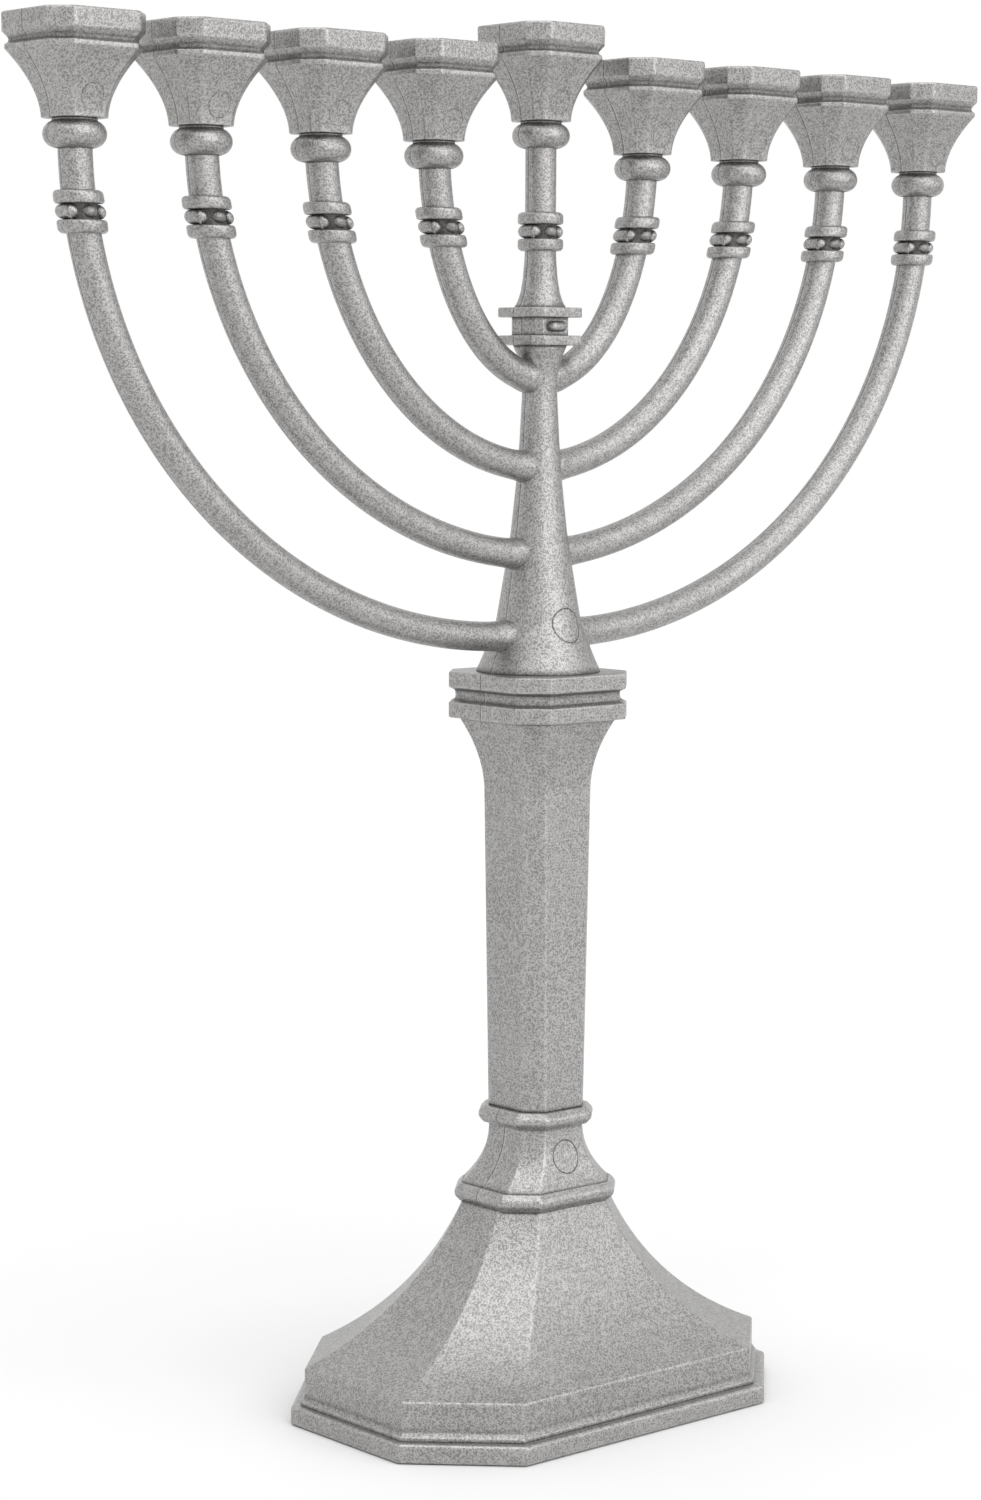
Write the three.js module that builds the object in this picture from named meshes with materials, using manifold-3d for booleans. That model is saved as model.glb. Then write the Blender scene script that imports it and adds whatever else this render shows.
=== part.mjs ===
// Nine-branch menorah: a stacked pedestal on a footed base, a round trunk with four pairs of curved
// arms, and a raised servant light (the shamash) in the middle. Millimetres, +Z up, the arms run
// along X, the front faces -Y, and the origin is at the bottom centre, on the surface it stands on.
import * as THREE from 'three';
import { mergeVertices } from 'three/addons/utils/BufferGeometryUtils.js';
import Module from 'manifold-3d';

const wasm = await Module();
wasm.setup();

// ---------------------------------------------------------------- driving dimensions
const GAP = 0.3; // clearance between pieces that touch
const CANDLE_SPACING = 25.4; // from one candle axis to the next
const ROUND_SIDES = 12; // sides of a turned piece
const ARM_SIDES = 8; // sides of an arm's round section
const ARM_STEPS = 14; // steps along an arm's arc

// Heights of the joints in the pedestal stack.
const PLATE_BOTTOM = 0.2;
const PLATE_TOP = 3.6;
const SHELL_BOTTOM = 3.9;
const SHELL_TOP = 38.5;
const NECK_BOTTOM = 42.1;
const NECK_TOP = 52.9;
const COLUMN_BOTTOM = 56.4;
const COLUMN_TOP = 128.5;
const TRUNK_BOTTOM = 137.4;
const TRUNK_TOP = 196.6;
const KNOP_TOP = 203.5;

// Tie rod that clamps the pedestal stack from the trunk's foot down to a nut under the base plate.
const ROD_RADIUS = 2.5;
const ROD_BORE = ROD_RADIUS + GAP;
const ROD_BOTTOM = 1.6;
const ROD_TOP = 150;
const WASHER_THICKNESS = 1;
const NUT_RADIUS = 4.6; // across its corners
const NUT_HEIGHT = 4;
const NUT_BOTTOM = 2;
const POCKET_RADIUS = 8.5; // hollow under the plate that holds the nut
const POCKET_TOP = NUT_BOTTOM + NUT_HEIGHT + WASHER_THICKNESS + 2 * GAP;

const PAD = { x: 33, y: 20, radius: 4.5, height: 1.2, pocket: 1.5 };

// Octagons are rectangles of half-width a (along X) and half-depth b (along Y) whose corners are
// cut back by cx and cy.
const PLATE = { a: 46.1, b: 31.3, cx: 16.4, cy: 16 };
const WALL = { a: 43.9, b: 28.8, cx: 15.6, cy: 14.8, foot: 0.7, coveTop: 5.8, top: 10.5 };
const SHELL_CREST = { a: 13.85, b: 10.4, cx: 5.6, cy: 5.3 };
const SHELL_THICKNESS = 2.2;
const LOWER_COLLAR = { a: 14.3, b: 11.8, cx: 5.2, cy: 5.2, round: 0.8 };
const MID_COLLAR = { a: 9.5, b: 9.4, cx: 4, cy: 4, round: 0.9 };
const NECK = { foot: { a: 12.9, b: 10.8, cx: 4.4, cy: 4.4 }, head: { a: 7.5, b: 7.7, cx: 3, cy: 3 } };
const COLUMN = {
  foot: { a: 7.6, b: 7.75, cx: 3, cy: 3 },
  shoulder: { a: 8.3, b: 8.35, cx: 2.9, cy: 2.9 },
  head: { a: 11.6, b: 11.65, cx: 2.85, cy: 2.85 },
  flareHeight: 14,
  bore: 5,
};
const CAPITAL = { a: 13.8, b: 13.85, cx: 4.65, cy: 4.65, band: 2.8, grooveDepth: 0.8 };
const KNOP = { flange: { a: 6.2, b: 6.3, cx: 1.75, cy: 1.75 }, spool: { a: 4.1, b: 4.1, cx: 1.2, cy: 1.2 } };
const KNOP_FLANGE = 1.7;
const KNOP_BOSS = { radius: 0.8, length: 2.4 };
const STEM_PIN = 1.7; // pin under the shamash stem, through the knop and into the trunk

// Arms, from the innermost pair to the outermost. Each is a quarter of an upright ellipse: half its
// width, half its height, and the height of its centre.
const ARM_ARCS = [
  { width: 25.5, drop: 41.8, centreZ: 232.6 },
  { width: 52.6, drop: 58.6, centreZ: 233.1 },
  { width: 77.9, drop: 73.2, centreZ: 231.8 },
  { width: 94.1, drop: 85.9, centreZ: 229.9 },
];
const ARM_RADIUS = 2.75;
const SPIGOT_RADIUS = 2; // reduced end that carries the knob and the cup
const SPIGOT_DEPTH = 2.4; // how far it reaches into the cup

const COLLAR = { z: 217.3, height: 7, radius: 4.1, waist: 3.5, ring: 2.2, bead: 1.2, beads: 3 };
const FRONT_BEAD = { radius: 1.4, reach: 2.35 }; // the round bead of a collar, front and rear
const KNOB = { radius: 5.25, height: 4.5 };
const CUP = {
  height: 16.95,
  rim: { a: 9.8, band: 3.2, chamfer: 3.4 },
  cove: { a: 9, depth: 4.5 },
  lip: { a: 9.35, depth: 5.8 },
  foot: 4.6,
};
const DISH = { a: 8.3, depth: 3 }; // shallow drip dish inside the rim
const SOCKET = { radius: 5, depth: 10.6 }; // candle socket, its depth measured from the rim
const SIDE_RIM_Z = 249.25;
const SHAMASH_RIM_Z = 254;

const METAL = { color: 0xa6a4a0, roughness: 0.5, metalness: 0.85 };
const STEEL = { color: 0x8e8f90, roughness: 0.4, metalness: 0.9 };
const FELT = { color: 0x3a3a3c, roughness: 0.95, metalness: 0 };

// ---------------------------------------------------------------- solids
/** Turns a closed three.js geometry into a manifold solid. */
function solidOf(geometry) {
  const bare = geometry.clone();
  bare.deleteAttribute('normal');
  bare.deleteAttribute('uv');
  const merged = mergeVertices(bare, 1e-4);
  const index = merged.index.array;
  const kept = [];
  for (let i = 0; i < index.length; i += 3) {
    const [p, q, r] = [index[i], index[i + 1], index[i + 2]];
    if (p !== q && q !== r && r !== p) {
      kept.push(p, q, r);
    }
  }
  const vertProperties = new Float32Array(merged.attributes.position.array);
  return new wasm.Manifold(new wasm.Mesh({ numProp: 3, vertProperties, triVerts: new Uint32Array(kept) }));
}

/** Turns a manifold solid back into a three.js geometry. */
function geometryOf(solid) {
  const mesh = solid.getMesh();
  const geometry = new THREE.BufferGeometry();
  geometry.setAttribute('position', new THREE.BufferAttribute(new Float32Array(mesh.vertProperties), 3));
  geometry.setIndex(Array.from(mesh.triVerts));
  geometry.computeVertexNormals();
  return geometry;
}

/** The eight corners of a cut-cornered rectangle, anticlockwise seen from above. */
function octagon({ a, b, cx, cy }) {
  return [
    [a, -(b - cy)],
    [a, b - cy],
    [a - cx, b],
    [-(a - cx), b],
    [-a, b - cy],
    [-a, -(b - cy)],
    [-(a - cx), -b],
    [a - cx, -b],
  ];
}

/** A closed solid through octagons stacked from the lowest to the highest: [z, octagon sizes]. */
function octagonStack(levels) {
  const points = [];
  const triangles = [];
  for (const [z, sizes] of levels) {
    for (const [x, y] of octagon(sizes)) {
      points.push(x, y, z);
    }
  }
  const last = (levels.length - 1) * 8;
  for (let level = 0; level < levels.length - 1; level += 1) {
    for (let side = 0; side < 8; side += 1) {
      const low = level * 8 + side;
      const lowNext = level * 8 + ((side + 1) % 8);
      triangles.push(low, lowNext, lowNext + 8, low, lowNext + 8, low + 8);
    }
  }
  for (let side = 1; side < 7; side += 1) {
    triangles.push(0, side + 1, side);
    triangles.push(last, last + side, last + side + 1);
  }
  const geometry = new THREE.BufferGeometry();
  geometry.setAttribute('position', new THREE.Float32BufferAttribute(points, 3));
  geometry.setIndex(triangles);
  return solidOf(geometry);
}

/** Sizes part of the way from one octagon to another. */
function blend(from, to, t) {
  const mixed = {};
  for (const key of ['a', 'b', 'cx', 'cy']) {
    mixed[key] = THREE.MathUtils.lerp(from[key], to[key], t);
  }
  return mixed;
}

/** An octagon moved inwards by a distance, its corners kept in proportion. */
function inset(sizes, distance) {
  const ratio = 1 - distance / sizes.a;
  return { a: sizes.a - distance, b: sizes.b - distance, cx: sizes.cx * ratio, cy: sizes.cy * ratio };
}

/** A turned solid about Z from [radius, z] points that start and end on the axis, or close. */
function turned(profile, sides = ROUND_SIDES) {
  const points = profile.map(([radius, z]) => new THREE.Vector2(radius, z));
  const geometry = new THREE.LatheGeometry(points, sides);
  geometry.rotateX(Math.PI / 2);
  return solidOf(geometry);
}

/** A cylinder about Z between two heights. */
function cylinder(radius, low, high, sides = ROUND_SIDES) {
  const geometry = new THREE.CylinderGeometry(radius, radius, high - low, sides);
  geometry.rotateX(Math.PI / 2);
  geometry.translate(0, 0, (low + high) / 2);
  return solidOf(geometry);
}

/** A hole right through a stacked piece for the tie rod. */
function boredForRod(solid, low, high, radius = ROD_BORE) {
  return solid.subtract(cylinder(radius, low - 1, high + 1));
}

// ---------------------------------------------------------------- pedestal
function padPositions() {
  return [
    ['front_left', -PAD.x, -PAD.y],
    ['front_right', PAD.x, -PAD.y],
    ['rear_left', -PAD.x, PAD.y],
    ['rear_right', PAD.x, PAD.y],
  ];
}

/** Flat plate with softened edges, a raised pan over the nut, and a shallow pocket for each pad. */
function basePlate() {
  const soften = 0.4;
  const pan = cylinder(POCKET_RADIUS + 2, PLATE_BOTTOM, POCKET_TOP + 2);
  let plate = octagonStack([
    [PLATE_BOTTOM, inset(PLATE, soften)],
    [PLATE_BOTTOM + soften, PLATE],
    [PLATE_TOP - soften, PLATE],
    [PLATE_TOP, inset(PLATE, soften)],
  ]);
  plate = plate.add(pan).subtract(cylinder(POCKET_RADIUS, 0, POCKET_TOP));
  for (const [, x, y] of padPositions()) {
    const pocket = cylinder(PAD.radius + GAP, PLATE_BOTTOM - 1, PAD.pocket, 12);
    plate = plate.subtract(pocket.translate([x, y, 0]));
  }
  return boredForRod(plate, PLATE_BOTTOM, POCKET_TOP + 2);
}

/** Height and sizes along the base's hollow sweep, a quadratic curve from the wall to the crest. */
function sweepLevel(t) {
  const pull = { z: 19.3, a: 22.9 };
  const near = (1 - t) ** 2;
  const middle = 2 * t * (1 - t);
  const far = t ** 2;
  const z = near * WALL.top + middle * pull.z + far * SHELL_TOP;
  const a = near * WALL.a + middle * pull.a + far * SHELL_CREST.a;
  return [z, blend(WALL, SHELL_CREST, (WALL.a - a) / (WALL.a - SHELL_CREST.a))];
}

/** Hollow base: a cove at its foot, an upright wall and a hollow sweep, open underneath. */
function baseShell() {
  const steps = 7;
  const outer = [
    [SHELL_BOTTOM, inset(WALL, -WALL.foot)],
    [SHELL_BOTTOM + 0.9, inset(WALL, -WALL.foot)],
    [WALL.coveTop, WALL],
  ];
  const inner = [[SHELL_BOTTOM - 1, inset(WALL, SHELL_THICKNESS)]];
  for (let step = 0; step <= steps; step += 1) {
    const [z, sizes] = sweepLevel(step / steps);
    outer.push([z, sizes]);
    if (step < steps) {
      inner.push([z - SHELL_THICKNESS, inset(sizes, SHELL_THICKNESS)]);
    }
  }
  const shell = octagonStack(outer).subtract(octagonStack(inner));
  return boredForRod(shell, SHELL_BOTTOM, SHELL_TOP);
}

/** A collar ring with rounded edges, between two pieces of the stack. */
function collarBand(sizes, low, high) {
  const band = octagonStack([
    [low, inset(sizes, sizes.round)],
    [low + sizes.round * 0.35, inset(sizes, sizes.round * 0.35)],
    [low + sizes.round, sizes],
    [high - sizes.round, sizes],
    [high - sizes.round * 0.35, inset(sizes, sizes.round * 0.35)],
    [high, inset(sizes, sizes.round)],
  ]);
  return boredForRod(band, low, high);
}

/** Pedestal neck that flares outwards to its foot in a quarter-round hollow. */
function pedestalNeck() {
  const steps = 6;
  const levels = [];
  for (let step = 0; step <= steps; step += 1) {
    const t = step / steps;
    const flare = (1 - t) ** 2.3;
    levels.push([THREE.MathUtils.lerp(NECK_BOTTOM, NECK_TOP, t), blend(NECK.head, NECK.foot, flare)]);
  }
  return boredForRod(octagonStack(levels), NECK_BOTTOM, NECK_TOP);
}

/** Tall column, slightly wider towards the top, that flares out under the capital. */
function column() {
  const steps = 5;
  const flareBottom = COLUMN_TOP - COLUMN.flareHeight;
  const levels = [[COLUMN_BOTTOM, COLUMN.foot]];
  for (let step = 0; step <= steps; step += 1) {
    const t = step / steps;
    levels.push([flareBottom + t * COLUMN.flareHeight, blend(COLUMN.shoulder, COLUMN.head, t ** 2)]);
  }
  return boredForRod(octagonStack(levels), COLUMN_BOTTOM, COLUMN_TOP, COLUMN.bore);
}

/** Capital: two square-edged bands with a hollow groove between them. */
function capital() {
  const low = COLUMN_TOP + GAP;
  const high = TRUNK_BOTTOM - GAP;
  const middle = (low + high) / 2;
  const block = octagonStack([
    [low, CAPITAL],
    [low + CAPITAL.band, CAPITAL],
    [middle - 0.7, inset(CAPITAL, CAPITAL.grooveDepth)],
    [middle + 0.7, inset(CAPITAL, CAPITAL.grooveDepth)],
    [high - CAPITAL.band, CAPITAL],
    [high, CAPITAL],
  ]);
  return boredForRod(block, low, high);
}

/** Tie rod, from the foot of the trunk to just below its nut. */
function tieRod() {
  return cylinder(ROD_RADIUS, ROD_BOTTOM, ROD_TOP, 12);
}

function nut() {
  return cylinder(NUT_RADIUS, NUT_BOTTOM, NUT_BOTTOM + NUT_HEIGHT, 6).subtract(cylinder(ROD_BORE, 0, 10, 12));
}

function washer() {
  const low = NUT_BOTTOM + NUT_HEIGHT + GAP;
  return cylinder(6, low, low + WASHER_THICKNESS).subtract(cylinder(ROD_BORE, 0, 10, 12));
}

// ---------------------------------------------------------------- trunk
/** The trunk's outline as [radius, z]: a wide skirt that narrows upwards, then a cone. */
function trunkOutline(clearance) {
  return [
    [11.5, TRUNK_BOTTOM],
    [10.2, 140.6],
    [7.9, 146],
    [6.2, 156.3],
    [5.2, 162.6],
    [4.2, 172.2],
    [3.65, 179.5],
    [3.2, 188.6],
    [3.3, 191.6],
    [4.1, 195.2],
    [4.9, TRUNK_TOP],
  ].map(([radius, z]) => [radius + clearance, z]);
}

function trunk() {
  const body = turned([[0, TRUNK_BOTTOM], ...trunkOutline(0), [0, TRUNK_TOP]], 16);
  const rodHole = cylinder(ROD_BORE, TRUNK_BOTTOM - 1, ROD_TOP + GAP, 12);
  const pinHole = cylinder(STEM_PIN + GAP, TRUNK_TOP - 5, TRUNK_TOP + 1, 12);
  return body.subtract(rodHole).subtract(pinHole);
}

/** Knop: two thin octagonal flanges on an octagonal spool, with a pill-shaped boss front and rear. */
function knop() {
  const low = TRUNK_TOP + GAP;
  const spoolLow = low + KNOP_FLANGE;
  const spoolHigh = KNOP_TOP - KNOP_FLANGE;
  let body = octagonStack([
    [low, KNOP.flange],
    [spoolLow, KNOP.flange],
  ]);
  body = body.add(octagonStack([[spoolLow - 0.1, KNOP.spool], [spoolHigh + 0.1, KNOP.spool]]));
  body = body.add(octagonStack([[spoolHigh, KNOP.flange], [KNOP_TOP, KNOP.flange]]));
  for (const side of [-1, 1]) {
    const boss = new THREE.CapsuleGeometry(KNOP_BOSS.radius, KNOP_BOSS.length, 2, 8);
    boss.rotateZ(Math.PI / 2);
    boss.translate(0, side * KNOP.spool.b, (spoolLow + spoolHigh) / 2);
    body = body.add(solidOf(boss));
  }
  return body.subtract(cylinder(STEM_PIN + GAP, low - 1, KNOP_TOP + 1, 12));
}

/** Turned stem of the shamash: a pin below, a flared foot, a straight shank and a spigot above. */
function shamashStem() {
  const foot = KNOP_TOP + GAP;
  const shankTop = SHAMASH_RIM_Z - CUP.height - KNOB.height - 2 * GAP;
  const spigotTop = SHAMASH_RIM_Z - CUP.height + SPIGOT_DEPTH;
  return turned([
    [0, TRUNK_TOP - 4.7],
    [STEM_PIN, TRUNK_TOP - 4.7],
    [STEM_PIN, foot],
    [4.75, foot],
    [4.15, foot + 1],
    [3.6, foot + 2.5],
    [3.2, foot + 4.6],
    [2.9, foot + 8.2],
    [2.8, foot + 10],
    [2.8, shankTop],
    [SPIGOT_RADIUS, shankTop],
    [SPIGOT_RADIUS, spigotTop],
    [0, spigotTop],
  ]);
}

// ---------------------------------------------------------------- arms and lights
/** Elliptical path of an arm in the XZ plane, from inside the trunk to straight up at its knob. */
class ArmArc extends THREE.Curve {
  constructor(side, pair) {
    super();
    this.side = side;
    this.reach = pair * CANDLE_SPACING;
    this.arc = ARM_ARCS[pair - 1];
    const start = (1 - this.reach + this.arc.width) / this.arc.width;
    this.startAngle = Math.acos(start);
  }

  /** The point at an angle below the ellipse's end, where the arm is upright. */
  pointAt(angle) {
    const x = this.reach - this.arc.width * (1 - Math.cos(angle));
    return new THREE.Vector3(this.side * x, 0, this.arc.centreZ - this.arc.drop * Math.sin(angle));
  }

  getPoint(t) {
    return this.pointAt(this.startAngle * (1 - t));
  }
}

/** An arm: a round bar along its arc, cut to the trunk's surface, with a spigot on top. */
function arm(side, pair) {
  const reach = pair * CANDLE_SPACING;
  const section = new THREE.Shape();
  section.absarc(0, 0, ARM_RADIUS, 0, 2 * Math.PI);
  const bar = new THREE.ExtrudeGeometry(section, {
    curveSegments: ARM_SIDES / 2, // a full circle takes two points for each
    steps: ARM_STEPS,
    extrudePath: new ArmArc(side, pair),
  });
  const cupBottom = SIDE_RIM_Z - CUP.height;
  const knobBottom = cupBottom - KNOB.height - GAP;
  const cutoff = new THREE.BoxGeometry(30, 30, 40);
  cutoff.translate(side * reach, 0, knobBottom - GAP + 20);
  const outline = trunkOutline(GAP);
  const envelope = turned([[0, TRUNK_BOTTOM - 1], [13, TRUNK_BOTTOM - 1], ...outline, [0, TRUNK_TOP]], 16);
  const spigot = cylinder(SPIGOT_RADIUS, knobBottom - 2, cupBottom + SPIGOT_DEPTH, 12);
  return solidOf(bar)
    .subtract(solidOf(cutoff))
    .subtract(envelope)
    .add(spigot.translate([side * reach, 0, 0]));
}

/** Collar for an arm or stem: two rings with a bead front and rear and a long bead on each side. */
function collarSolid() {
  const half = COLLAR.height / 2;
  const bore = ARM_RADIUS + GAP + 0.1;
  const inner = half - COLLAR.ring;
  let body = turned([
    [bore, -half],
    [COLLAR.radius, -half],
    [COLLAR.radius, -inner],
    [COLLAR.waist, -inner],
    [COLLAR.waist, inner],
    [COLLAR.radius, inner],
    [COLLAR.radius, half],
    [bore, half],
    [bore, -half],
  ]);
  for (const side of [-1, 1]) {
    const bead = new THREE.SphereGeometry(FRONT_BEAD.radius, 6, 4);
    bead.translate(0, side * FRONT_BEAD.reach, 0);
    const longBead = new THREE.CapsuleGeometry(COLLAR.bead, 2 * COLLAR.bead, 2, 6);
    longBead.translate(side * COLLAR.beads, 0, 0);
    body = body.add(solidOf(bead)).add(solidOf(longBead));
  }
  return body.subtract(cylinder(bore, -half - 1, half + 1));
}

/** Flattened round knob, bored for the spigot. Its base is at z = 0. */
function knobSolid() {
  const steps = 4;
  const halfHeight = KNOB.height / 2;
  const flat = KNOB.radius - halfHeight;
  const bore = SPIGOT_RADIUS + GAP;
  const profile = [[bore, 0]];
  for (let step = 0; step <= steps; step += 1) {
    const angle = -Math.PI / 2 + (Math.PI * step) / steps;
    profile.push([flat + halfHeight * Math.cos(angle), halfHeight + halfHeight * Math.sin(angle)]);
  }
  profile.push([bore, KNOB.height], [bore, 0]);
  return turned(profile);
}

/** Square octagon of a cup at half-width a, with the rim's share of chamfer. */
function cupOctagon(a) {
  const chamfer = (CUP.rim.chamfer / CUP.rim.a) * a;
  return { a, b: a, cx: chamfer, cy: chamfer };
}

/** Candle cup. Its rim is at z = 0 and its body hangs below. */
function cupSolid() {
  const steps = 4;
  const levels = [];
  for (let step = 0; step <= steps; step += 1) {
    const t = step / steps;
    const z = THREE.MathUtils.lerp(-CUP.height, -CUP.lip.depth - 0.7, t);
    levels.push([z, cupOctagon(CUP.foot + (CUP.lip.a - 0.25 - CUP.foot) * t ** 1.8)]);
  }
  levels.push(
    [-CUP.lip.depth - 0.3, cupOctagon(CUP.lip.a)],
    [-CUP.lip.depth + 0.3, cupOctagon(CUP.lip.a)],
    [-CUP.cove.depth - 0.3, cupOctagon(CUP.cove.a)],
    [-CUP.cove.depth + 0.4, cupOctagon(CUP.cove.a)],
    [-CUP.rim.band, cupOctagon(CUP.rim.a)],
    [0, cupOctagon(CUP.rim.a)],
  );
  const dish = octagonStack([
    [-DISH.depth, cupOctagon(DISH.a - 2.2)],
    [1, cupOctagon(DISH.a + 0.7)],
  ]);
  const socket = cylinder(SOCKET.radius, -SOCKET.depth, 1);
  const spigotHole = cylinder(SPIGOT_RADIUS + GAP, -CUP.height - 1, -CUP.height + SPIGOT_DEPTH + GAP, 12);
  return octagonStack(levels).subtract(dish).subtract(socket).subtract(spigotHole);
}

// ---------------------------------------------------------------- assembly
const menorah = new THREE.Group();

/** Adds one named piece with its own material to a group. */
function addPiece(group, name, solid, finish = METAL) {
  const mesh = new THREE.Mesh(geometryOf(solid), new THREE.MeshStandardMaterial(finish));
  mesh.name = name;
  group.add(mesh);
  return mesh;
}

/** The knob and the cup of one light, stacked below a given rim height. */
function addLight(name, x, rimZ, knob, cup) {
  const light = new THREE.Group();
  light.position.set(x, 0, rimZ);
  menorah.add(light);
  addPiece(light, `${name}_knob`, knob).position.z = -CUP.height - GAP - KNOB.height;
  addPiece(light, `${name}_cup`, cup);
}

addPiece(menorah, 'base_plate', basePlate());
addPiece(menorah, 'base_shell', baseShell());
addPiece(menorah, 'lower_collar', collarBand(LOWER_COLLAR, SHELL_TOP + GAP, NECK_BOTTOM - GAP));
addPiece(menorah, 'pedestal_neck', pedestalNeck());
addPiece(menorah, 'mid_collar', collarBand(MID_COLLAR, NECK_TOP + GAP, COLUMN_BOTTOM - GAP));
addPiece(menorah, 'column', column());
addPiece(menorah, 'capital', capital());
addPiece(menorah, 'tie_rod', tieRod(), STEEL);
addPiece(menorah, 'rod_nut', nut(), STEEL);
addPiece(menorah, 'rod_washer', washer(), STEEL);
addPiece(menorah, 'trunk', trunk());
addPiece(menorah, 'knop', knop());
addPiece(menorah, 'shamash_stem', shamashStem());
for (const [place, x, y] of padPositions()) {
  const pad = addPiece(menorah, `pad_${place}`, cylinder(PAD.radius, 0, PAD.height, 12), FELT);
  pad.position.set(x, y, 0);
}

const collar = collarSolid();
const knob = knobSolid();
const cup = cupSolid();
addPiece(menorah, 'shamash_collar', collar).position.z = COLLAR.z;
addLight('shamash', 0, SHAMASH_RIM_Z, knob, cup);
for (const [sideName, side] of [['left', -1], ['right', 1]]) {
  for (let pair = 1; pair <= ARM_ARCS.length; pair += 1) {
    const name = `${sideName}_${pair}`;
    const { width, drop, centreZ } = ARM_ARCS[pair - 1];
    const angle = Math.asin((centreZ - COLLAR.z) / drop);
    const lean = side * (width / drop) * Math.tan(angle);
    addPiece(menorah, `${name}_arm`, arm(side, pair));
    const ring = addPiece(menorah, `${name}_collar`, collar);
    ring.position.copy(new ArmArc(side, pair).pointAt(angle));
    // its rings stay level, one shifted over the other so that the bore follows the arm
    ring.geometry.applyMatrix4(new THREE.Matrix4().makeShear(0, 0, 0, 0, lean, 0));
    addLight(name, side * pair * CANDLE_SPACING, SIDE_RIM_Z, knob, cup);
  }
}

export default menorah;
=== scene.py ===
import logging
import math
from dataclasses import dataclass, field
from enum import Enum
from typing import Any, Optional, Sequence, Union

import bpy
import numpy as np
from mathutils import Matrix, Vector


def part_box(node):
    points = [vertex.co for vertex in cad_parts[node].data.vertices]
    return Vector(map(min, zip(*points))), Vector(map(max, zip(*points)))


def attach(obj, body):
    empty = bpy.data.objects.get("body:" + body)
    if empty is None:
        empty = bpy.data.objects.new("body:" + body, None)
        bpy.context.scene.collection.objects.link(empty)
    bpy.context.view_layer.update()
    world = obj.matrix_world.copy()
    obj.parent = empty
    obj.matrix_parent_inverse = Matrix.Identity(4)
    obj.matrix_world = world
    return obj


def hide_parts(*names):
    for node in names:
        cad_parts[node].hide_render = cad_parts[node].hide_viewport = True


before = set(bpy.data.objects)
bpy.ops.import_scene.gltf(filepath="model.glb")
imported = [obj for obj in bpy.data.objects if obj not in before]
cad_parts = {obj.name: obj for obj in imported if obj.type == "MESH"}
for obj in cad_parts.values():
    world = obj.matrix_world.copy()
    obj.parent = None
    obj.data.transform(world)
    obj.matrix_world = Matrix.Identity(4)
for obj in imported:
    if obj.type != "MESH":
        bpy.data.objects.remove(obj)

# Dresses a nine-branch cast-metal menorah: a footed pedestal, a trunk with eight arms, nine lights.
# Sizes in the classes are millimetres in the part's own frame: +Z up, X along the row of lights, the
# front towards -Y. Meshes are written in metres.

MM = 0.001
FAR = 99.0
POLE = 0.12
LOG = logging.getLogger("menorah")
Value = Union[float, "Signal"]


class Slot(Enum):
    """The record's material slots."""

    METAL = "satin_metal"
    STEEL = "rod_steel"
    PAD = "pad_felt"


class Side(Enum):
    """The two halves of the menorah, with their sign along X."""

    LEFT = -1
    RIGHT = 1


# Shader building
@dataclass(frozen=True)
class Signal:
    """A number that varies over a surface: a shader's output socket with Python's operators."""

    shader: "Shader"
    socket: Any

    def __add__(self, other: Value) -> "Signal":
        """Sum of two numbers."""
        return self.shader.math("ADD", self, other)

    __radd__ = __add__

    def __sub__(self, other: Value) -> "Signal":
        """Difference of two numbers."""
        return self.shader.math("SUBTRACT", self, other)

    def __rsub__(self, other: Value) -> "Signal":
        """Difference of two numbers."""
        return self.shader.math("SUBTRACT", other, self)

    def __mul__(self, other: Value) -> "Signal":
        """Product of two numbers."""
        return self.shader.math("MULTIPLY", self, other)

    __rmul__ = __mul__

    def __truediv__(self, other: Value) -> "Signal":
        """Quotient of two numbers."""
        return self.shader.math("DIVIDE", self, other)

    def clipped(self) -> "Signal":
        """The number held between 0 and 1."""
        return self.shader.math("ADD", self, 0.0, clamp=True)

    def above(self, low: float, high: float) -> "Signal":
        """0 below low, 1 above high, and a straight ramp between them."""
        return ((self - low) / (high - low)).clipped()

    def bell(self, width: float) -> "Signal":
        """A bell curve of the number about zero: e to the power of minus its square over width's."""
        scaled = self / width
        return self.shader.math("EXPONENT", scaled * scaled * -1.0)


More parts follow.
